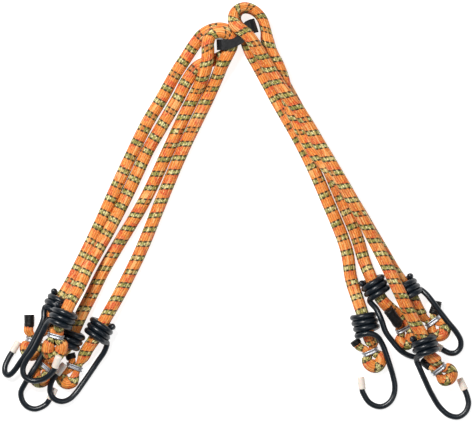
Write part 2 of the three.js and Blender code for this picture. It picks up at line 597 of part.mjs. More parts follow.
for (const { name, route, arms } of CORDS) {
  const stations = withClamps(routeStations(route));
  add(name, sweep(stations, CORD_SIDES), FINISHES.cord);
  const tangents = tangentsOf(stations);
  const clamps = clampedPlaces(stations);
  const ends = [[clamps[0], clamps[1]], [clamps[3], clamps[2]]];
  arms.forEach((arm, k) => {
    const [tail, main] = ends[k];
    const along = tangents[tail].clone().sub(tangents[main]);
    const clip = clipBand(stations[tail].p, stations[main].p, along);
    add(`clip_${arm}`, clip, FINISHES.clip);
    const fromEnd = k === 0 ? stations : [...stations].reverse();
    const sleeve = tapeSleeve(fromEnd, TAPE_LENGTHS[arm - 1]);
    add(`end_tape_${arm}`, sleeve, FINISHES.tape);
  });
}

HOOKS.forEach((hook, k) => {
  const { stations, at } = hookStations(hook);
  add(`hook_${k + 1}`, sweep(stations, WIRE_SIDES), FINISHES.wire);
  add(`tip_cap_${k + 1}`, tipCap(at), FINISHES.cap);
});

add("link", linkRing(), FINISHES.link);

export default strap;
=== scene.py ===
import math

import bpy
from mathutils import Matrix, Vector


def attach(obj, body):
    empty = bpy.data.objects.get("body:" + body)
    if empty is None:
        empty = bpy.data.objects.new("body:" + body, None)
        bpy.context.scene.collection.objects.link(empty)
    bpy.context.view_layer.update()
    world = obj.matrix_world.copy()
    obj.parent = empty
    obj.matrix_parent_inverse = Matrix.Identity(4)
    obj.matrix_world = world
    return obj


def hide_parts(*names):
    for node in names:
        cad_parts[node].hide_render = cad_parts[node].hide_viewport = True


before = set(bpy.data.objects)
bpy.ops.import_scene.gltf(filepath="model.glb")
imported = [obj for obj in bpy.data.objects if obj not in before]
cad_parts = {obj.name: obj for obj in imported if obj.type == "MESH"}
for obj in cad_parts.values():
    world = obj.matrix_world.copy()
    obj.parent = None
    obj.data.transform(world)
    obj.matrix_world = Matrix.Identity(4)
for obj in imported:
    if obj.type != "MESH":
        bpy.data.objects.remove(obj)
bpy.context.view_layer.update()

MM = 0.001
scene = bpy.context.scene

# Camera.

# The photo looks straight down. One of its pixels is 0.625 mm.
PIXEL = 0.625 * MM
PHOTO_WIDTH = 474
PHOTO_HEIGHT = 423
# The pixel that the part's origin is on.
ORIGIN_PX = (236.61, 218.89)
CAMERA_HEIGHT = 1.0


def add_camera():
    data = bpy.data.cameras.new("camera")
    data.type = "ORTHO"
    data.ortho_scale = PHOTO_WIDTH * PIXEL
    data.clip_start = 0.01
    data.clip_end = 5
    camera = bpy.data.objects.new("camera", data)
    right = (PHOTO_WIDTH / 2 - ORIGIN_PX[0]) * PIXEL
    up = (ORIGIN_PX[1] - PHOTO_HEIGHT / 2) * PIXEL
    camera.location = (right, up, CAMERA_HEIGHT)
    scene.collection.objects.link(camera)
    scene.camera = camera


add_camera()

# Curves. Their points are lists of x, y, z in mm, with or without a radius.


def minus(a, b):
    return [a[i] - b[i] for i in range(3)]


def unit(a):
    length = math.sqrt(sum(x * x for x in a)) or 1.0
    return [x / length for x in a]


def dot(a, b):
    return sum(a[i] * b[i] for i in range(3))


def cross(a, b):
    return [a[1] * b[2] - a[2] * b[1], a[2] * b[0] - a[0] * b[2], a[0] * b[1] - a[1] * b[0]]


def moved(point, direction, distance):
    return [point[a] + direction[a] * distance for a in range(3)]


def spline(points, spacing):
    """A centripetal spline through the points. A radius runs evenly between them."""
    count = len(points)

    def mirrored(a, b):
        return [2 * a[i] - b[i] for i in range(3)]

    def knot(a, b):
        """The square root of the distance between two points."""
        return max(sum((a[i] - b[i]) ** 2 for i in range(3)), 1e-9) ** 0.25

    result = []
    for i in range(count - 1):
        p1, p2 = points[i], points[i + 1]
        p0 = points[i - 1] if i > 0 else mirrored(p1, p2)
        p3 = points[i + 2] if i + 2 < count else mirrored(p2, p1)
        d0, d1, d2 = knot(p0, p1), knot(p1, p2), knot(p2, p3)
        steps = max(2, math.ceil(math.dist(p1[:3], p2[:3]) / spacing))
        for k in range(steps):
            t = k / steps
            row = []
            for a in range(3):
                m1 = ((p1[a] - p0[a]) / d0 - (p2[a] - p0[a]) / (d0 + d1) + (p2[a] - p1[a]) / d1) * d1
                m2 = ((p2[a] - p1[a]) / d1 - (p3[a] - p1[a]) / (d1 + d2) + (p3[a] - p2[a]) / d2) * d1
                c2 = -3 * p1[a] + 3 * p2[a] - 2 * m1 - m2
                c3 = 2 * p1[a] - 2 * p2[a] + m1 + m2
                row.append(p1[a] + m1 * t + c2 * t * t + c3 * t * t * t)
            row += [p1[a] + (p2[a] - p1[a]) * t for a in range(3, len(p1))]
            result.append(row)
    result.append(list(points[-1]))
    return result


def frames(path):
    """Tangent, normal and side at each point, carried along without twist."""
    tangents = []
    for i in range(len(path)):
        before, after = path[max(i - 1, 0)], path[min(i + 1, len(path) - 1)]
        tangents.append(unit(minus(after, before)))
    t = tangents[0]
    normal = unit([-t[2] * t[0], -t[2] * t[1], 1 - t[2] * t[2]])
    result = []
    for t in tangents:
        normal = unit(moved(normal, t, -dot(normal, t)))
        result.append((t, normal, cross(t, normal)))
    return result


def travelled(path):
    """The distance along the path at each point."""
    result = [0.0]
    for a, b in zip(path, path[1:]):
        result.append(result[-1] + math.dist(a[:3], b[:3]))
    return result


def resample(path, length, spacing):
    """Points at an even spacing along the path, up to that length from its start."""
    along = travelled(path)
    count = max(2, math.ceil(length / spacing))
    result = []
    j = 0
    for k in range(count + 1):
        s = length * k / count
        while j < len(path) - 2 and along[j + 1] < s:
            j += 1
        span = along[j + 1] - along[j] or 1.0
        share = (s - along[j]) / span
        result.append([a + (b - a) * share for a, b in zip(path[j], path[j + 1])])
    return result


def wave(x, y, phase):
    """A smooth uneven value from -1 to 1, made of three waves that don't repeat together."""
    first = math.sin(1.7 * x + 2.3 * y + phase)
    second = math.sin(2.9 * x - 1.3 * y + 2.1 * phase)
    third = math.sin(0.8 * x + 4.1 * y + 3.7 * phase)
    return (first + second + third) / 3


# Meshes.


def new_object(name, vertices, faces, material, uvs=None, smooth=True):
    mesh = bpy.data.meshes.new(name)
    mesh.from_pydata([[c * MM for c in v] for v in vertices], [], faces)
    if uvs is not None:
        layer = mesh.uv_layers.new(name="along")
        layer.data.foreach_set("uv", [c for face in uvs for uv in face for c in uv])
    mesh.polygons.foreach_set("use_smooth", [smooth] * len(mesh.polygons))
    mesh.update()
    mesh.materials.append(material)
    obj = bpy.data.objects.new(name, mesh)
    scene.collection.objects.link(obj)
    return obj


def tube(name, path, radii, sides, material, relief):
    """A closed tube along the path. relief(angle, distance) is a factor on its radius.

    Its u is the share of a turn round it, and its v the distance along it in mm.
    """
    along = travelled(path)
    vertices, faces, uvs = [], [], []
    for p, radius, s, (_, normal, side) in zip(path, radii, along, frames(path)):
        for k in range(sides):
            angle = 2 * math.pi * k / sides + math.pi
            r = radius * relief(angle, s)
            vertices.append(moved(moved(p, normal, r * math.cos(angle)), side, r * math.sin(angle)))
    for i in range(len(path) - 1):
        row, next_row = i * sides, (i + 1) * sides
        for k in range(sides):
            j = (k + 1) % sides
            faces.append((row + k, row + j, next_row + j, next_row + k))
            u0, u1 = k / sides, (k + 1) / sides
            uvs.append([(u0, along[i]), (u1, along[i]), (u1, along[i + 1]), (u0, along[i + 1])])
    for i, is_far_end in ((0, False), (len(path) - 1, True)):
        centre = len(vertices)
        vertices.append(list(path[i][:3]))
        for k in range(sides):
            here, there = i * sides + k, i * sides + (k + 1) % sides
            faces.append((here, there, centre) if is_far_end else (there, here, centre))
            uvs.append([(k / sides, along[i]), ((k + 1) / sides, along[i]), (k / sides, along[i])])
    return new_object(name, vertices, faces, material, uvs)


def dress(piece, solid):
    """Lets the piece stand for the part's solid of that name."""
    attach(piece, "root")
    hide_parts(solid)


# Materials.


class Graph:
    """A short way to write a material's node tree. Its methods give sockets."""

    def __init__(self, name):
        self.material = bpy.data.materials.new(name)
        self.material.use_nodes = True
        self.tree = self.material.node_tree
        self.tree.nodes.clear()
        output = self.node("OutputMaterial")
        self.shader = self.node("BsdfPrincipled")
        self.link(self.shader.outputs[0], output.inputs["Surface"])

    def node(self, kind):
        return self.tree.nodes.new("ShaderNode" + kind)

    def link(self, a, b):
        self.tree.links.new(a, b)

    def put(self, value, socket):
        """Links a socket, or sets a number or a colour."""
        if hasattr(value, "links"):
            self.link(value, socket)
        elif isinstance(value, tuple):
            socket.default_value = (*value, 1.0)
        else:
            socket.default_value = value

    def set(self, values):
        """Sets the shader's inputs by their names."""
        for name, value in values.items():
            self.put(value, self.shader.inputs[name])

    def bump(self, height, strength, distance):
        node = self.node("Bump")
        self.put(strength, node.inputs["Strength"])
        self.put(distance, node.inputs["Distance"])
        self.link(height, node.inputs["Height"])
        self.link(node.outputs[0], self.shader.inputs["Normal"])

    def math(self, operation, a, b=0.0, c=0.0):
        node = self.node("Math")
        node.operation = operation
        for value, socket in zip((a, b, c), node.inputs):
            self.put(value, socket)
        return node.outputs[0]

    def times(self, a, b):
        return self.math("MULTIPLY", a, b)

    def times_plus(self, a, b, c):
        return self.math("MULTIPLY_ADD", a, b, c)

    def mix(self, share, a, b):
        """Colour a, with that share of colour b."""
        node = self.node("Mix")
        node.data_type = "RGBA"
        self.put(share, node.inputs["Factor"])
        self.put(a, node.inputs[6])
        self.put(b, node.inputs[7])
        return node.outputs[2]

    def ramp(self, value, zero_at, one_at):
        """0 where the value is at zero_at or past it, 1 at one_at, smooth between."""
        node = self.node("MapRange")
        node.interpolation_type = "SMOOTHSTEP"
        self.put(value, node.inputs["Value"])
        self.put(zero_at, node.inputs["From Min"])
        self.put(one_at, node.inputs["From Max"])
        return node.outputs["Result"]

    def pair(self, x, y):
        node = self.node("CombineXYZ")
        self.link(x, node.inputs[0])
        self.link(y, node.inputs[1])
        return node.outputs[0]

    def noise(self, vector, scale, detail=2.0, roughness=0.5, dimensions="3D"):
        node = self.node("TexNoise")
        node.noise_dimensions = dimensions
        self.put(scale, node.inputs["Scale"])
        self.put(detail, node.inputs["Detail"])
        self.put(roughness, node.inputs["Roughness"])
        self.link(vector, node.inputs["Vector"])
        return node.outputs["Fac"]

    def long_noise(self, u, v, grain, detail):
        """Noise with grain = (cells in a turn round the cord, cells in a mm along it)."""
        place = self.pair(self.times(u, grain[0]), self.times(v, grain[1]))
        return self.noise(place, scale=1.0, detail=detail, dimensions="2D")

    def random(self, x, y=None):
        """One even random value for each whole number x, or for each pair x, y."""
        node = self.node("TexWhiteNoise")
        if y is None:
            node.noise_dimensions = "1D"
            self.link(x, node.inputs["W"])
        else:
            node.noise_dimensions = "2D"
            self.link(self.pair(x, y), node.inputs["Vector"])
        return node.outputs["Value"]

    def position(self):
        return self.node("TexCoord").outputs["Object"]

    def along(self):
        """u and v of a tube."""
        uv = self.node("UVMap")
        uv.uv_map = "along"
        split = self.node("SeparateXYZ")
        self.link(uv.outputs[0], split.inputs[0])
        return split.outputs[0], split.outputs[1]


# The braided cover: lanes of orange yarn along the cord, crossed by olive bands
# that dark threads edge. Lengths are in mm along the cord.
LANES = 16
BAND_PITCH = 9.7
BAND_LENGTH = 3.6
BAND_DRIFT = 1.2
STITCH_LENGTH = 1.6
GLINT_LENGTH = 1.9
FILAMENT_GRAIN = (110.0, 0.55)
STREAK_GRAIN = (17.0, 0.06)

ORANGE_DARK = (0.60, 0.094, 0.009)
ORANGE_LIGHT = (0.93, 0.285, 0.033)
ORANGE_RED = (0.70, 0.085, 0.014)
# Painted highlight on the orange yarn.
ORANGE_PAINTED_HIGHLIGHT = (1.0, 0.64, 0.22)
# Painted highlight for the long streaks along the cord.
ORANGE_STREAK_HIGHLIGHT = (1.0, 0.66, 0.26)
# Painted shade in the grooves between the orange yarn lanes.
ORANGE_GROOVE_SHADE = (0.20, 0.022, 0.003)
ORANGE_UNDER = (0.16, 0.085, 0.010)
OLIVE_DARK = (0.150, 0.130, 0.020)
OLIVE_LIGHT = (0.46, 0.41, 0.090)
OLIVE_GLINT = (0.95, 0.86, 0.40)
# Painted shade in the grooves between the olive yarn lanes.
OLIVE_GROOVE_SHADE = (0.035, 0.030, 0.007)
THREAD_BROWN = (0.055, 0.030, 0.006)
THREAD_BLACK = (0.022, 0.014, 0.004)
BRAID_SHEEN = (1.0, 0.72, 0.45)


def lanes(g, u):
    """The lane's number, 1 where it is odd, and the share of a lane from its middle."""
    lane = g.times(u, float(LANES))
    index = g.math("FLOOR", lane)
    odd = g.math("FLOORED_MODULO", index, 2.0)
    from_middle = g.math("ABSOLUTE", g.math("SUBTRACT", g.math("FRACT", lane), 0.5))
    return index, odd, from_middle


def bands(g, u, v, place, slant):
    """The band's number, and the distance from its middle."""
    drift = g.times_plus(g.noise(place, scale=60), BAND_DRIFT, -BAND_DRIFT / 2)
    climbed = g.times_plus(u, slant * BAND_PITCH, g.math("ADD", v, drift))
    pitches = g.math("DIVIDE", climbed, BAND_PITCH)
    index = g.math("FLOOR", pitches)
    from_middle = g.math("ABSOLUTE", g.math("SUBTRACT", g.math("FRACT", pitches), 0.5))
    return index, g.times(from_middle, BAND_PITCH)


def orange_yarn(g, place, lane_index, fine, groove_shade):
    colour = g.mix(g.random(lane_index), ORANGE_DARK, ORANGE_LIGHT)
    colour = g.mix(g.ramp(g.noise(place, scale=160), zero_at=0.50, one_at=0.62), colour, ORANGE_RED)
    # Pale flecks of painted highlight where the fine noise is high.
    colour = g.mix(g.times(g.ramp(fine, zero_at=0.53, one_at=0.66), 0.70), colour, ORANGE_PAINTED_HIGHLIGHT)
    # Painted shade in the grooves between lanes.
    return g.mix(g.times(groove_shade, 0.65), colour, ORANGE_GROOVE_SHADE)


def olive_yarn(g, v, lane_index, fine, groove_shade):
    colour = g.mix(g.ramp(fine, zero_at=0.40, one_at=0.62), OLIVE_DARK, OLIVE_LIGHT)
    glint_index = g.math("FLOOR", g.math("DIVIDE", v, GLINT_LENGTH))
    glint = g.ramp(g.random(lane_index, glint_index), zero_at=0.42, one_at=0.72)
    glint = g.times(glint, g.ramp(fine, zero_at=0.36, one_at=0.56))
    colour = g.mix(g.times(glint, 0.9), colour, OLIVE_GLINT)
    # Painted shade in the grooves between lanes.
    return g.mix(g.times(groove_shade, 0.85), colour, OLIVE_GROOVE_SHADE)


def dark_threads(g, from_band, odd, from_middle):
    """The threads at a band's two edges: black dashes on odd lanes, brown lines between."""
    edge = BAND_LENGTH / 2
    inner = g.ramp(from_band, zero_at=edge - 1.05, one_at=edge - 0.75)
    outer = g.ramp(from_band, zero_at=edge + 0.50, one_at=edge + 0.20)
    dash = g.times(g.times(inner, outer), odd)
    dash = g.times(dash, g.ramp(from_middle, zero_at=0.56, one_at=0.42))
    inner = g.ramp(from_band, zero_at=edge - 0.5, one_at=edge - 0.2)
    outer = g.ramp(from_band, zero_at=edge + 0.25, one_at=edge - 0.05)
    line = g.times(g.times(inner, outer), g.math("SUBTRACT", 1.0, odd))
    return g.times(dash, 0.95), g.times(line, 0.75)


def braid(name, slant):
    """The cover of one cord. slant is the number of pitches that a band climbs in a turn."""
    g = Graph(name)
    place = g.position()
    u, v = g.along()
    lane_index, odd, from_middle = lanes(g, u)
    band_index, from_band = bands(g, u, v, place, slant)
    # Painted shade: darker towards each lane's edges, in the grooves between lanes.
    groove_shade = g.ramp(from_middle, zero_at=0.30, one_at=0.5)
    fine = g.long_noise(u, v, FILAMENT_GRAIN, detail=3.0)

    orange = orange_yarn(g, place, lane_index, fine, groove_shade)
    olive = olive_yarn(g, v, lane_index, fine, groove_shade)

    # In some places the olive yarns dip under and the orange ones show through.
    lane_pair = g.math("FLOOR", g.math("DIVIDE", lane_index, 2.0))
    dipped = g.ramp(g.random(lane_pair, band_index), zero_at=0.15, one_at=0.08)
    olive = g.mix(dipped, olive, g.mix(0.35, orange, ORANGE_UNDER))
    in_band = g.ramp(from_band, zero_at=BAND_LENGTH / 2 - 0.05, one_at=BAND_LENGTH / 2 - 0.35)
    colour = g.mix(in_band, orange, olive)

    # Long pale streaks along the cord: painted highlight.
    painted_streak = g.ramp(g.long_noise(u, v, STREAK_GRAIN, detail=1.0), zero_at=0.58, one_at=0.70)
    colour = g.mix(g.times(painted_streak, 0.48), colour, ORANGE_STREAK_HIGHLIGHT)
    dash, line = dark_threads(g, from_band, odd, from_middle)
    colour = g.mix(line, colour, THREAD_BROWN)
    colour = g.mix(dash, colour, THREAD_BLACK)

    # Round lanes with short stitches, fine filaments and a little grain.
    ridge = g.math("SUBTRACT", 1.0, g.math("POWER", g.times(from_middle, 2.0), 2.0))
    every_other = g.times(odd, math.pi)
    stitch = g.math("SINE", g.times_plus(v, 2 * math.pi / STITCH_LENGTH, every_other))
    height = g.times_plus(ridge, 0.55, g.times(stitch, 0.10))
    height = g.times_plus(fine, 0.35, height)
    height = g.times_plus(g.noise(place, scale=700), 0.10, height)
    g.bump(height, strength=0.85, distance=0.34 * MM)
    g.set({
        "Base Color": colour,
        "Roughness": g.times_plus(fine, 0.2, 0.50),
        "Specular IOR Level": 0.35,
        "Sheen Weight": 0.06,
        "Sheen Roughness": 0.4,
        "Sheen Tint": BRAID_SHEEN,
    })
    return g.material


COAT_DARK = (0.0012, 0.0038, 0.0072)
COAT_LIGHT = (0.0038, 0.0096, 0.0165)
COAT_SCUFF = (0.026, 0.034, 0.050)


def coated_wire():
    g = Graph("blue_black_coat")
    place = g.position()
    cloud = g.noise(place, scale=55, detail=3)
    scuff = g.ramp(g.noise(place, scale=260, detail=4, roughness=0.65), zero_at=0.60, one_at=0.74)
    colour = g.mix(cloud, COAT_DARK, COAT_LIGHT)
    g.set({
        "Base Color": g.mix(g.times(scuff, 0.30), colour, COAT_SCUFF),
        "Roughness": g.times_plus(cloud, 0.12, g.times_plus(scuff, 0.14, 0.28)),
        "Specular IOR Level": 0.50,
    })
    height = g.times_plus(g.noise(place, scale=900), 0.25, g.noise(place, scale=130))
    g.bump(height, strength=0.35, distance=0.25 * MM)
    return g.material


RUBBER_DUST = (0.045, 0.050, 0.060)


def rubber(name, dark, light, roughness, crease_scale):
    g = Graph(name)
    place = g.position()
    crease = g.noise(place, scale=crease_scale, detail=3, roughness=0.6)
    dust = g.ramp(g.noise(place, scale=420, detail=3), zero_at=0.58, one_at=0.75)
    colour = g.mix(g.noise(place, scale=120, detail=3), dark, light)
    g.set({
        "Base Color": g.mix(g.times(dust, 0.25), colour, RUBBER_DUST),
        "Roughness": g.times_plus(crease, 0.2, roughness),
        "Specular IOR Level": 0.3,
    })
    height = g.times_plus(g.noise(place, scale=1500, detail=1), 0.15, crease)
    g.bump(height, strength=0.6, distance=0.5 * MM)
    return g.material


CAP_SHADE = (0.72, 0.62, 0.53)
CAP_PALE = (0.90, 0.84, 0.77)
CAP_STAIN = (0.52, 0.40, 0.32)


def pale_cap():
    g = Graph("pale_cap")
    place = g.position()
    cloud = g.noise(place, scale=150, detail=3)
    stain = g.ramp(g.noise(place, scale=330, detail=3), zero_at=0.52, one_at=0.70)
    colour = g.mix(cloud, CAP_SHADE, CAP_PALE)
    g.set({
        "Base Color": g.mix(g.times(stain, 0.15), colour, CAP_STAIN),
        "Roughness": g.times_plus(cloud, 0.15, 0.42),
        "Subsurface Weight": 0.12,
        "Subsurface Scale": 2 * MM,
    })
    g.bump(g.noise(place, scale=500), strength=0.25, distance=0.3 * MM)
    return g.material


STEEL_DARK = (0.34, 0.35, 0.38)
STEEL_LIGHT = (0.56, 0.57, 0.60)
STEEL_TARNISH = (0.20, 0.18, 0.16)


def bright_steel():
    g = Graph("bright_steel")
    place = g.position()
    scratch = g.noise(place, scale=2200)
    tarnish = g.ramp(g.noise(place, scale=300, detail=3), zero_at=0.55, one_at=0.75)
    colour = g.mix(g.noise(place, scale=200, detail=3), STEEL_DARK, STEEL_LIGHT)
    g.set({
        "Base Color": g.mix(g.times(tarnish, 0.2), colour, STEEL_TARNISH),
        "Metallic": 1.0,
        "Roughness": g.times_plus(scratch, 0.12, 0.42),
    })
    g.bump(scratch, strength=0.05, distance=0.04 * MM)
    return g.material


COAT = coated_wire()
SLEEVE = rubber("black_sleeve", (0.0015, 0.0018, 0.0022), (0.0060, 0.0068, 0.0075), 0.42, 500)
RUBBER = rubber("link_rubber", (0.0010, 0.0015, 0.0024), (0.0030, 0.0042, 0.0064), 0.50, 300)
CAP = pale_cap()
STEEL = bright_steel()

# Cords.

# Each cord's route repeats the solid's: x, y, z and the radius, in mm.
CORD_A_ROUTE = [
    (-129.6, -60.8, 4.2, 2.7), (-129.6, -65.4, 4.2, 2.8), (-130, -69.8, 4.1, 3.2),
    (-128.8, -75.3, 4, 2), (-131.3, -78.9, 4, 3.4), (-131.4, -82.4, 4, 3.6), (-128.5, -85, 4, 3.7),
    (-124.8, -83.4, 4, 3.6), (-123.4, -79.9, 4, 3.4), (-124.4, -76.3, 4.1, 2),
    (-121.4, -70.3, 5.6, 3.5), (-118.4, -64.6, 7.4, 3.9), (-114.7, -58.4, 8.3, 3.9),
    (-111.6, -53.2, 8.3, 3.9), (-108.3, -47.9, 8.2, 3.9), (-103.2, -39.1, 6.2, 4),
    (-96.9, -26.9, 4.1, 4), (-85.7, -3.8, 4, 4), (-71.6, 27.4, 4, 4), (-56, 59.6, 4, 4),
    (-46.9, 74.9, 4, 4), (-37.6, 91.5, 4, 4), (-30.9, 101.8, 4.2, 4), (-26.6, 108.4, 4.8, 4),
    (-21.5, 114.8, 5.6, 4), (-15.4, 118.2, 5.9, 4), (-9, 118.9, 5.9, 3.9), (-4.6, 117.3, 5.9, 3.8),
    (-2.7, 114.3, 5.9, 3.9), (-3.1, 109.4, 5.9, 3.9), (-5.3, 104.7, 5.7, 3.9), (-10.3, 100.8, 4.7, 4),
    (-17.6, 98.2, 4.1, 4), (-24.6, 94.8, 4, 4), (-30.6, 86.8, 4, 4), (-37.3, 74, 4, 4),
    (-46.8, 57.7, 4, 4), (-55.3, 43.1, 4, 4), (-62.3, 28.1, 4.4, 4), (-70, 11.8, 5.8, 4),
    (-78.3, -4.4, 8.8, 4), (-86.3, -18.8, 12.2, 4), (-93.2, -31.3, 16.4, 4), (-99.1, -43.8, 21.4, 4),
    (-104.5, -53.6, 24.8, 3.9), (-107, -58.4, 25.2, 3.9), (-109.2, -62.9, 25.2, 3.9),
    (-110.8, -67.6, 24.2, 3.5), (-110.9, -73.6, 21.4, 2), (-109.1, -78.1, 20.9, 3.4),
    (-110.3, -82.7, 18.8, 3.5), (-114.4, -86.8, 15.6, 3.7), (-117.6, -83.6, 17.6, 3.6),
    (-117.3, -77.9, 20, 3.4), (-115.1, -72.4, 20.6, 2), (-115.5, -67.6, 19.9, 2.2),
    (-117.6, -64.2, 17.2, 2.6),
]
CORD_B_ROUTE = [
    (-112.9, -91, 4, 2.7), (-114.8, -92.1, 4, 2.6), (-118, -93.8, 4, 2), (-118.6, -96.9, 4, 3.2),
    (-119.9, -100.4, 4, 3.6), (-123.8, -101.8, 4, 3.7), (-126.3, -98.6, 4, 3.6),
    (-125.1, -94.4, 4, 3.3), (-121.4, -90.8, 4, 2), (-118.1, -86.4, 6.2, 3.2),
    (-112.6, -83.8, 7.6, 3.9), (-107.5, -81.5, 8.3, 3.9), (-104.4, -75.7, 8.3, 3.9),
    (-101.4, -69.6, 8.3, 3.9), (-96, -57.6, 6.4, 4), (-91.6, -49.1, 4.6, 4), (-83.1, -31.9, 4, 4),
    (-75.5, -18.8, 4, 4), (-57.5, 11.5, 4, 4), (-42.9, 42.4, 4, 4), (-33.4, 62.7, 4, 4),
    (-27.5, 74.6, 4, 4), (-22.9, 84, 6.6, 4), (-19.9, 92.1, 11.2, 4), (-18.3, 99.3, 13.2, 4),
    (-17.9, 104.9, 14.2, 4), (-18, 110.2, 14.2, 4), (-15.7, 115.4, 14.2, 4), (-10.7, 116.7, 14.2, 4),
    (-6.1, 115.7, 14.2, 3.9), (-3.4, 112.4, 14.2, 3.9), (-3, 108.4, 14.2, 3.9), (-4.8, 104.3, 14, 3.9),
    (-7.3, 99.6, 13.2, 4), (-9.6, 94.8, 10.8, 4), (-13, 86.5, 6.2, 4), (-18.1, 75.2, 4, 4),
    (-33.6, 43.1, 4, 4), (-46.9, 11.8, 4, 4), (-59.6, -19.4, 4, 4), (-69, -38.8, 4.3, 4),
    (-76.6, -52.9, 7, 4), (-82.9, -63.9, 8.3, 3.9), (-85.7, -69.1, 8.3, 3.9), (-88.4, -74.3, 8.3, 3.9),
    (-93.3, -81.6, 6.4, 3.8), (-96.3, -87.3, 4.8, 3.3), (-99.4, -93.4, 4, 2), (-99.6, -96.6, 4, 3.4),
    (-102.3, -101.3, 4, 3.5), (-106.4, -102.6, 4, 3.5), (-109.5, -99.2, 4, 3.5),
    (-107.9, -95.1, 4, 3.4), (-103.7, -91.8, 4, 2), (-103.9, -85.2, 3.7, 2.7),
]
CORD_C_ROUTE = [
    (124.9, -52.4, 4.6, 2.7), (124.5, -55.3, 4.3, 2.7), (123.5, -58.3, 4.1, 2.4), (124.4, -62.9, 4, 2),
    (128.3, -64.7, 4, 3.3), (130.2, -68.1, 4, 3.5), (128.7, -72.2, 4, 3.7), (124.4, -72.6, 4, 3.6),
    (121.9, -69.4, 4, 3.3), (120.8, -65.6, 4, 2), (115.9, -60.8, 5.2, 3.4), (112.1, -53.9, 7.2, 3.9),
    (109.7, -48.9, 8.3, 3.9), (106.2, -43.8, 8.3, 3.9), (102.7, -38.6, 8.3, 3.9), (97.4, -31, 7, 4),
    (92.4, -22.3, 4.9, 4), (85.2, -10.1, 4.2, 4), (77.7, 2.7, 8, 4), (70.6, 14, 12.2, 4),
    (58.4, 29.9, 12.3, 4), (47.2, 43.4, 11.6, 4), (36, 64.3, 11.6, 4), (31.8, 75.6, 12.5, 4),
    (29.1, 87.4, 12.4, 4), (25.9, 95.9, 12.4, 4), (22.1, 103.4, 12.4, 4), (19.7, 110.6, 12.4, 3.5),
    (18.5, 117.8, 12, 3.1), (16, 125.3, 12, 3), (11.6, 130.3, 12.8, 3), (6.2, 132.5, 14.6, 3),
    (1.2, 131.4, 17, 3.1), (-1.8, 127.9, 19.8, 3.2), (-1.9, 123.4, 22.6, 3.3), (0.7, 119.8, 24.4, 3.6),
    (5.6, 116.3, 24.7, 3.9), (9.9, 111.3, 24.7, 3.9), (13.4, 105.6, 23.4, 4), (18.1, 97.9, 21.2, 4),
    (23, 89.7, 20, 4), (29.9, 79.3, 20.9, 4), (39.5, 66.8, 19.6, 4), (53.9, 43.1, 19.2, 4),
    (63.2, 27.4, 20.8, 4), (72.2, 11.8, 20.8, 4), (80.1, -2.3, 18.6, 4), (86.9, -15.4, 17.4, 4),
    (94.6, -30.7, 19.4, 4), (100.7, -43.5, 20.6, 4), (106.9, -56.6, 19.8, 4), (112.5, -66.6, 17.8, 4),
    (116.1, -73.2, 17.5, 3.9), (117.6, -79.1, 17.5, 3.8), (120.2, -84.8, 17.1, 3.4),
    (124.9, -88.9, 15, 3.5), (128.1, -92.4, 12.8, 2), (131.9, -93.4, 11.6, 3.3),
    (134.6, -96.2, 10, 3.4), (133, -99.8, 8.8, 3.5), (129, -100.7, 9, 3.4), (125.9, -98.3, 10.8, 3.3),
    (124.5, -95.1, 11.4, 2), (120.5, -91.6, 11.2, 2.5), (117.5, -88.9, 9.4, 2.7),
]
CORD_D_ROUTE = [
    (74.2, -76.6, 4.6, 2.7), (76.6, -79.8, 4.3, 2.7), (79.4, -81.9, 4.2, 2.4), (81.6, -84.1, 4, 2),
    (81.6, -87.8, 4, 3.3), (83.5, -91.2, 4, 3.6), (87.4, -92.4, 4, 3.7), (90, -89.1, 4, 3.6),
    (88.9, -85.2, 4, 3.3), (85.7, -82.3, 4, 2), (85.1, -78.4, 5, 3.3), (83.4, -75.2, 6.6, 3.8),
    (82, -71.4, 8.3, 3.9), (80.4, -65.4, 8.3, 3.9), (78.7, -59.4, 8.3, 3.9), (75.6, -50.2, 6.2, 4),
    (71.6, -37.4, 4.1, 4), (68.7, -19.4, 4, 4), (56.5, 11.8, 4, 4), (42.4, 43.1, 4, 4),
    (25, 74.2, 4, 4), (17.4, 88.4, 4, 4), (13, 96.5, 4.2, 4), (9.5, 102.7, 6.6, 4),
    (7.1, 108.4, 9.6, 4), (5.2, 113.7, 11.4, 3.8), (2, 118.9, 11.2, 3.5), (-0.1, 123.4, 9.4, 3.2),
    (0, 127.6, 6.4, 3.1), (2.5, 130.7, 4.6, 3.1), (6.6, 131.4, 3.6, 3.1), (11.4, 129.6, 3.6, 3.1),
    (15.6, 125.1, 3.6, 3.1), (18.2, 117.4, 3.6, 3.2), (19.1, 110.6, 3.8, 3.6), (21.4, 103.1, 4, 4),
    (25.1, 95.2, 4, 4), (28.9, 86.1, 4, 4), (35.5, 73.9, 4, 4), (52, 43.1, 4, 4), (65.7, 11.8, 4, 4),
    (75, -10.7, 4, 4), (79.6, -25.7, 4.8, 4), (84.4, -37.8, 8.3, 3.9), (87.1, -43.6, 8.3, 3.9),
    (90, -49.4, 8.3, 3.9), (94.4, -54.6, 7.2, 3.7), (102.4, -61.3, 4.8, 3.3), (106.4, -67.1, 4.1, 2),
    (108.9, -70.3, 4, 3.3), (109.1, -74.8, 4, 3.6), (106.2, -78.4, 4, 3.7), (102.2, -76.3, 4.2, 3.6),
    (101.4, -72.1, 4.6, 3.4), (102.2, -69.4, 5.3, 2), (100.5, -65.1, 10.4, 2.3),
    (95.5, -57.8, 15, 2.7),
]
# The arms at each end of a route, and the slant of the cord's bands.
CORDS = [
    ("cord_a", CORD_A_ROUTE, (1, 2), 0.0),
    ("cord_b", CORD_B_ROUTE, (3, 4), -1.0),
    ("cord_c", CORD_C_ROUTE, (8, 7), 1.0),
    ("cord_d", CORD_D_ROUTE, (5, 6), 0.0),
]
CORD_SIDES = 32

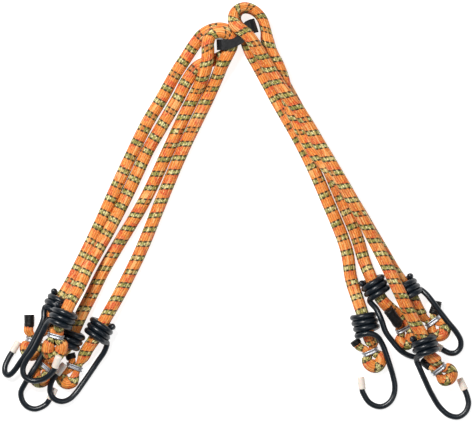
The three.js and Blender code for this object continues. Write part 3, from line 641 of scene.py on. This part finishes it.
# The route's radius where a clip squeezes the cord, half the length that lies
# straight there, and how near to it a point of the route has to be to be left out.
CLAMP_RADIUS = 2
CLAMP_SPAN = 2.5
CLAMP_REACH = CLAMP_SPAN + 1.2

# The cover isn't drawn thinner than this, in the clips and in the tails.
LEAST_RADIUS = 2.3

# In its tight folds, where its radius is within FOLD_RANGE of FOLD_RADIUS, a cord
# bulges by up to FOLD_SWELL.
FOLD_RADIUS = 3.5
FOLD_RANGE = 0.35
FOLD_SWELL = 0.45


def with_clamps(route):
    """The route with both legs of each clip laid along the clip's own axis.

    Returns the points, and each clip as (tail leg, main leg, axis) for both ends.
    """
    def heading(i):
        return unit(minus(route[min(i + 1, len(route) - 1)], route[max(i - 1, 0)]))

    clamped = [i for i, p in enumerate(route) if p[3] == CLAMP_RADIUS]
    first, last = clamped[:2], clamped[2:]
    axes = {}
    for i, j in (first, last):
        across = unit(minus(route[j], route[i]))
        axis = minus(heading(i), heading(j))
        axis = unit(moved(axis, across, -dot(axis, across)))
        axes[i], axes[j] = axis, [-a for a in axis]
    points = []
    for i, p in enumerate(route):
        if i in axes:
            for along in (-CLAMP_SPAN, 0, CLAMP_SPAN):
                points.append(moved(p, axes[i], along) + [p[3]])
            continue
        near = [c for c in clamped if abs(c - i) < 3 and math.dist(p[:3], route[c][:3]) < CLAMP_REACH]
        if not near:
            points.append(list(p))
    clips = [
        (route[first[0]], route[first[1]], axes[first[0]]),
        (route[last[1]], route[last[0]], axes[last[1]]),
    ]
    return points, clips


def cord_path(points):
    """A smooth path through the points, fuller in its folds and never under the ground."""
    smooth_path = spline(points, spacing=1.0)
    for p in smooth_path:
        p[3] += FOLD_SWELL * max(0.0, 1 - abs(p[3] - FOLD_RADIUS) / FOLD_RANGE)
        p[2] = max(p[2], p[3])
    return resample(smooth_path, travelled(smooth_path)[-1], spacing=0.9)


# Each arm's sleeve: its length as in the solid, less where the clip is nearer.
SLEEVE_LENGTHS = [6.5, 5, 2.6, 2.6, 2.4, 11, 5.5, 7.5]
SLEEVE_RADIUS = 3.22
SLEEVE_SIDES = 32
SLEEVE_TO_CLIP = 0.6
# How far the sleeve goes past the cord's cut end.
SLEEVE_PAST_END = 0.9
# Shares of its radius, and the lengths in mm over which they fade: it is flared at
# its mouth, draws in at its inner end, and is flattened towards its mouth.
FLARE, FLARE_LENGTH = 0.05, 1.2
TUCK, TUCK_LENGTH = 0.10, 0.8
FLATTENED, FLATTENED_LENGTH = 0.03, 3
WRINKLES = 0.030
RINGS = 0.014


def end_sleeve(arm, path):
    """The black sleeve on a cord's cut end, wrinkled and a little flared at its mouth."""
    squeezed = next(i for i, p in enumerate(path) if p[3] <= CLAMP_RADIUS + 0.05)
    length = min(SLEEVE_LENGTHS[arm - 1], travelled(path)[squeezed] - SLEEVE_TO_CLIP)
    outward = unit(minus(path[0], path[3]))
    line = [moved(path[0], outward, SLEEVE_PAST_END)] + [p[:3] for p in path]
    line = resample(line, SLEEVE_PAST_END + length, spacing=0.35)
    along = travelled(line)
    radii = []
    for s in along:
        flare = 1.0 + FLARE * math.exp(-s / FLARE_LENGTH)
        tuck = 1.0 - TUCK * max(0.0, (s - along[-1] + TUCK_LENGTH) / TUCK_LENGTH)
        radii.append(SLEEVE_RADIUS * flare * tuck)

    def wrinkled(angle, s):
        wrinkle = WRINKLES * wave(3 * math.cos(angle) + 0.4 * s, 3 * math.sin(angle), arm)
        ring = RINGS * math.sin(4.4 * s + 1.3 * math.sin(angle + arm))
        flattened = FLATTENED * math.cos(2 * angle) * math.exp(-s / FLATTENED_LENGTH)
        return 1 + wrinkle + ring + flattened

    return tube(f"sleeve_{arm}", line, radii, SLEEVE_SIDES, SLEEVE, wrinkled)


CLIP_LENGTH = 3
CLIP_SIDES = 48
# Each leg's distance from the clip's middle, and the inner radius of the bends round it.
LEG_OFFSET = 2.5
BEND_RADIUS = 2.5
# The clip's flat sides are pressed in by this share at its middle, and stand out by
# as much from WAIST_REACH on.
WAIST = 0.05
WAIST_REACH = 2.6
# Half the clip's section, with one of its two ridges: the share of its length, and
# how far the metal stands out. CLIP_INSIDE is the same for its inner face.
RIDGE = [(0.0, 0.10), (0.05, 0.40), (0.16, 0.58), (0.29, 0.50), (0.37, 0.10), (0.44, 0.04)]
CLIP_INSIDE = 0.02


def clip_band(arm, one, other, axis):
    """A pressed steel clip with two raised ridges round the two legs."""
    across = unit(minus(other, one))
    upright = cross(axis, across)
    middle = [(a + b) / 2 for a, b in zip(one[:3], other[:3])]
    section = RIDGE + [(1 - share, out) for share, out in reversed(RIDGE)]
    section += [(1, CLIP_INSIDE), (0, CLIP_INSIDE)]
    vertices, faces = [], []
    for share, out in section:
        for k in range(CLIP_SIDES):
            turn = 2 * math.pi * k / CLIP_SIDES
            leg = LEG_OFFSET if math.cos(turn) >= 0 else -LEG_OFFSET
            x = leg + (BEND_RADIUS + out) * math.cos(turn)
            y = (BEND_RADIUS + out) * math.sin(turn)
            y *= 1 - WAIST * math.cos(math.pi * min(1.0, abs(x) / WAIST_REACH))
            point = moved(moved(middle, across, x), upright, y)
            vertices.append(moved(point, axis, CLIP_LENGTH * (share - 0.5)))
    for i in range(len(section)):
        row, next_row = i * CLIP_SIDES, (i + 1) % len(section) * CLIP_SIDES
        for k in range(CLIP_SIDES):
            j = (k + 1) % CLIP_SIDES
            faces.append((row + k, row + j, next_row + j, next_row + k))
    return new_object(f"clip_band_{arm}", vertices, faces, STEEL)


# The cord's mean radius, the height of its ribs and its unevenness, as shares of the
# solid's radius.
CORD_SHARE = 0.991
RIB_HEIGHT = 0.018
CORD_UNEVEN = 0.012


def add_cord(name, route, arms, slant):
    points, clips = with_clamps(route)
    path = cord_path(points)
    line = [p[:3] for p in path]
    radii = [max(p[3], LEAST_RADIUS) for p in path]
    phase = arms[0] + 6  # each cord is uneven in its own way

    def ribbed(angle, s):
        ribs = RIB_HEIGHT * math.cos(LANES * angle)
        return CORD_SHARE - ribs + CORD_UNEVEN * wave(0.12 * s, math.cos(angle), phase)

    cord = tube(f"braided_{name}", line, radii, CORD_SIDES, braid(f"braid_{name}", slant), ribbed)
    dress(cord, name)
    on_cord = []
    for (tail, main, axis), arm, from_end in zip(clips, arms, (path, path[::-1])):
        band = clip_band(arm, tail, main, axis)
        dress(band, f"clip_{arm}")
        sleeve = end_sleeve(arm, from_end)
        dress(sleeve, f"end_tape_{arm}")
        on_cord += [band, sleeve]


for cord_facts in CORDS:
    add_cord(*cord_facts)

# Hooks.

WIRE_RADIUS = 1.8
WIRE_SIDES = 20
COIL_RADIUS = 6.6
COIL_PITCH = 3.7
COIL_TURNS = 3
TURN_STEPS = 40
# The shank's curve starts on the coil's last points, which are this many steps apart.
LEAD_STEP = 5

# The coat is thicker by COIL_SWELL on the coil, up to SWELL_FADE before its end, and
# uneven by a share of its radius.
COIL_SWELL = 0.12
SWELL_FADE = 6
COAT_UNEVEN = 0.012
# The wire's cut end is rounded from this share of its radius over this length.
CUT_SHARE = 0.72
CUT_LENGTH = 0.9

CAP_LENGTH = 8
CAP_RADIUS = 2.3
CAP_SIDES = 24
# The wire ends this far inside the cap's end, and the cap is rounded over it.
CAP_THICKNESS = 1.0
# The cap's radius from its mouth on: mm from the mouth, and the share of CAP_RADIUS.
CAP_MOUTH = [(0.0, 0.96), (0.25, 1.02), (0.7, 1.0), (3.5, 0.985)]
CAP_FLAT_SHARE = 0.67
CAP_EDGE_SHARE = 0.3
CAP_EDGE_TURNS = (0.0, 0.45, 0.85, 1.15, 1.38)
CAP_UNEVEN = 0.02

# Each hook's coil middle, the coil's axis, the angle where the coil ends, its
# sense, and the wire after it, in mm as in the solid. The shank's last two
# points are the line of the tip.
HOOKS = [
    {
        "collar": (-111.6, -53.2, 8.4),
        "axis": (-0.54, -0.84),
        "last_turn": 150,
        "sense": 1,
        "shank": [
            (-120.4, -57.8, 13), (-120.6, -62.2, 14), (-122.9, -68.2, 13.8), (-125.4, -73.2, 13.4),
            (-130, -81.9, 12.8), (-135.3, -89.6, 11), (-139.6, -95.6, 8.4), (-142.5, -97.7, 6.6),
            (-144.6, -96.4, 4.8), (-144.8, -92.3, 3.4), (-142.6, -87.1, 2.9), (-140.8, -84.1, 2.8),
            (-136.3, -76.4, 2.8),
        ],
    },
    {
        "collar": (-108.5, -61.2, 25.4),
        "axis": (-0.45, -0.89),
        "last_turn": 150,
        "sense": 1,
        "shank": [
            (-118.9, -66.4, 25.2), (-121.1, -70.7, 23.8), (-123.6, -75.8, 21), (-127.5, -82.9, 17),
            (-131.7, -88.8, 14.6), (-133.6, -94.1, 13.6), (-132.5, -98.4, 13.4),
            (-128.1, -101.1, 13.6), (-122.3, -100.6, 14.8), (-117.1, -97.8, 17.2),
            (-114.1, -94.4, 20.2), (-111.1, -85.7, 24),
        ],
    },
    {
        "collar": (-103.8, -74.3, 8.4),
        "axis": (-0.45, -0.89),
        "last_turn": 150,
        "sense": 1,
        "shank": [
            (-113.1, -76.8, 10.4), (-116.3, -79.8, 10.4), (-120.1, -83.4, 10.1), (-125.1, -91.3, 9.8),
            (-129.1, -97.8, 9.4), (-132.4, -103.2, 6.6), (-134.8, -108.2, 4), (-134, -113.4, 2.6),
            (-130.8, -117.3, 1.8), (-126, -118.8, 1.8), (-121.1, -117.2, 1.8), (-118.9, -115.6, 1.8),
            (-117.5, -113.8, 2.4), (-113.4, -105.8, 2.4),
        ],
    },
    {
        "collar": (-85.7, -69.1, 8.4),
        "axis": (-0.47, -0.88),
        "last_turn": 30,
        "sense": -1,
        "shank": [
            (-81, -77.6, 7.6), (-82.5, -82.6, 5.6), (-87, -89.4, 3.6), (-94.8, -100.9, 2.6),
            (-101, -109.4, 3), (-105, -112.9, 4.2), (-109.6, -114.1, 5.6), (-113.9, -112.6, 6.3),
            (-116.4, -108.7, 6.8), (-116.3, -103.8, 8.2), (-114.4, -99.4, 9.6), (-113.2, -97.9, 10.2),
            (-107.4, -90.7, 10.8),
        ],
    },
    {
        "collar": (80.4, -65.4, 8.4),
        "axis": (0.27, -0.96),
        "last_turn": 180,
        "sense": -1,
        "shank": [
            (75.6, -73.4, 11.6), (78.6, -72.3, 14.4), (83.1, -71.6, 15.2), (87.4, -73.2, 13.4),
            (90.7, -77.6, 10.6), (93.9, -85.7, 8.2), (95.9, -91.9, 6.4), (97.5, -97.3, 4.2),
            (98.9, -104.4, 2.6), (98.2, -110.1, 1.8), (95.6, -114.6, 1.8), (91.1, -117.2, 1.8),
            (86.6, -116.8, 1.8), (82.4, -114.2, 1.8), (79.5, -109.7, 1.8), (78.6, -107.8, 2.4),
            (77.5, -98.6, 2.4),
        ],
    },
    {
        "collar": (86.4, -42.3, 8.4),
        "axis": (0.447, -0.894),
        "last_turn": 150,
        "sense": 1,
        "shank": [
            (83.2, -51.3, 9.8), (87.5, -56.6, 13.4), (90.5, -63.1, 15.2), (93.1, -70.4, 13.8),
            (97.7, -76.9, 10.8), (102.6, -82.4, 8.2), (107.6, -85.3, 4.6), (112.2, -86.3, 2.8),
            (116.1, -84.3, 1.8), (117.2, -80.3, 1.8), (116.8, -77.4, 2.4), (115.2, -68.4, 2.4),
        ],
    },
    {
        "collar": (117.6, -78.7, 17.6),
        "axis": (0.24, -0.97),
        "last_turn": 150,
        "sense": 1,
        "shank": [
            (112.6, -88.8, 17.4), (114.2, -92.8, 16.8), (117.1, -99.4, 13.4), (121.9, -109.6, 7.4),
            (127.1, -117.8, 3.4), (132.9, -122.7, 1.8), (138.5, -123.7, 1.8), (142.9, -120.9, 1.8),
            (144.9, -115.7, 1.8), (144.1, -110.9, 1.8), (143.1, -108.1, 2.4), (139.3, -99.6, 2.4),
        ],
    },
    {
        "collar": (106.2, -43.8, 8.4),
        "axis": (0.56, -0.83),
        "last_turn": 30,
        "sense": -1,
        "shank": [
            (115, -44.2, 8.8), (118.5, -46.9, 9.6), (122.4, -51.7, 10.4), (127.2, -58.2, 10.4),
            (132.2, -64.6, 9), (137.1, -70.6, 6), (140, -76.1, 3.4), (139.7, -80.7, 2.3),
            (136.7, -83.7, 1.8), (132.9, -83.8, 1.8), (129.7, -82.3, 2.4), (121.4, -77.3, 2.4),
        ],
    },
]


def hook_path(collar, axis, last_turn, sense, shank):
    """The wire's points from the coil's free end to the cap, and the tip's line."""
    along = unit([axis[0], axis[1], 0.0])
    right = [-along[1], along[0], 0.0]
    steps = COIL_TURNS * TURN_STEPS
    coil = []
    for i in range(steps + 1):
        share = i / steps
        angle = math.radians(last_turn) - sense * 2 * math.pi * COIL_TURNS * (1 - share)
        middle = moved(collar, along, (share - 0.5) * COIL_TURNS * COIL_PITCH)
        point = moved(middle, right, COIL_RADIUS * math.cos(angle))
        point[2] += COIL_RADIUS * math.sin(angle)
        coil.append(point)
    lead = coil[-1 - 2 * LEAD_STEP::LEAD_STEP]
    body = spline(lead + [list(p) for p in shank[:-1]], spacing=0.8)
    start = min(range(len(body)), key=lambda i: math.dist(body[i], coil[-1]))
    wire = coil + body[start + 1:]
    for p in wire:
        p[2] = max(p[2], WIRE_RADIUS)
    return wire, shank[-2], shank[-1]


def add_hook(arm, wire, tip_end, tip):
    path = wire + [moved(tip_end, tip, -CAP_THICKNESS)]
    path = resample(path, travelled(path)[-1], spacing=0.8)
    wound_length = 2 * math.pi * COIL_RADIUS * COIL_TURNS
    radii = []
    for s in travelled(path):
        swell = COIL_SWELL * min(1.0, max(0.0, (wound_length - s) / SWELL_FADE))
        rounding = min(1.0, CUT_SHARE + (1 - CUT_SHARE) * s / CUT_LENGTH)
        radii.append((WIRE_RADIUS + swell) * rounding)

    def dipped(angle, s):
        return 1 + COAT_UNEVEN * wave(0.35 * s, math.cos(angle), arm)

    hook = tube(f"wire_hook_{arm}", path, radii, WIRE_SIDES, COAT, dipped)
    dress(hook, f"hook_{arm}")


def add_cap(arm, tip_end, tip):
    section = list(CAP_MOUTH)
    for turn in CAP_EDGE_TURNS:
        s = CAP_LENGTH + CAP_THICKNESS * (math.sin(turn) - 1)
        section.append((s, CAP_FLAT_SHARE + CAP_EDGE_SHARE * math.cos(turn)))
    mouth = moved(tip_end, tip, -CAP_LENGTH)
    line = [moved(mouth, tip, s) for s, share in section]
    radii = [CAP_RADIUS * share for s, share in section]

    def dented(angle, s):
        return 1 + CAP_UNEVEN * wave(0.8 * s, 2 * math.cos(angle), arm)

    cap = tube(f"cap_{arm}", line, radii, CAP_SIDES, CAP, dented)
    dress(cap, f"tip_cap_{arm}")


for arm, hook_facts in enumerate(HOOKS, 1):
    wire, tip_start, tip_end = hook_path(**hook_facts)
    tip = unit(minus(tip_end, tip_start))
    add_hook(arm, wire, tip_end, tip)
    add_cap(arm, tip_end, tip)

# Link. The solid itself is shown.

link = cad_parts["link"]
link.data.materials.clear()
link.data.materials.append(RUBBER)

# Stage.

FLOOR_HALF = 2500
# The floor lies this far under the strap, so that no two faces share a place.
FLOOR_DROP = 0.2
FLOOR_DARK = (0.52, 0.52, 0.52)
FLOOR_LIGHT = (0.56, 0.56, 0.56)
FLOOR_GLOW = 0.82
SKY = (0.96, 0.98, 1.0)
SKY_STRENGTH = 0.18


def add_floor():
    g = Graph("white_ground")
    cloud = g.noise(g.position(), scale=6, detail=3)
    g.set({
        "Base Color": g.mix(cloud, FLOOR_DARK, FLOOR_LIGHT),
        "Roughness": 0.9,
        "Emission Color": (1.0, 1.0, 1.0),
        "Emission Strength": FLOOR_GLOW,
    })
    corners = [[x * FLOOR_HALF, y * FLOOR_HALF, 0] for x, y in ((-1, -1), (1, -1), (1, 1), (-1, 1))]
    floor = new_object("floor", corners, [(0, 1, 2, 3)], g.material, smooth=False)
    floor.location.z = -FLOOR_DROP * MM


def add_sky():
    world = bpy.data.worlds.new("studio")
    world.use_nodes = True
    background = world.node_tree.nodes["Background"]
    background.inputs["Color"].default_value = (*SKY, 1)
    background.inputs["Strength"].default_value = SKY_STRENGTH
    scene.world = world


def soft_light(name, where, size, power, colour):
    """A round light that faces the part's origin."""
    data = bpy.data.lights.new(name, "AREA")
    data.shape = "DISK"
    data.size = size
    data.energy = power
    data.color = colour
    light = bpy.data.objects.new(name, data)
    light.location = where
    light.rotation_euler = (-Vector(where)).to_track_quat("-Z", "Y").to_euler()
    scene.collection.objects.link(light)


add_floor()
add_sky()
soft_light("key", where=(-0.38, 0.42, 1.08), size=0.34, power=16.0, colour=(1.0, 0.99, 0.97))
soft_light("fill", where=(0.6, -0.3, 1.0), size=0.6, power=2.0, colour=(0.95, 0.97, 1.0))
scene.view_settings.view_transform = "Standard"
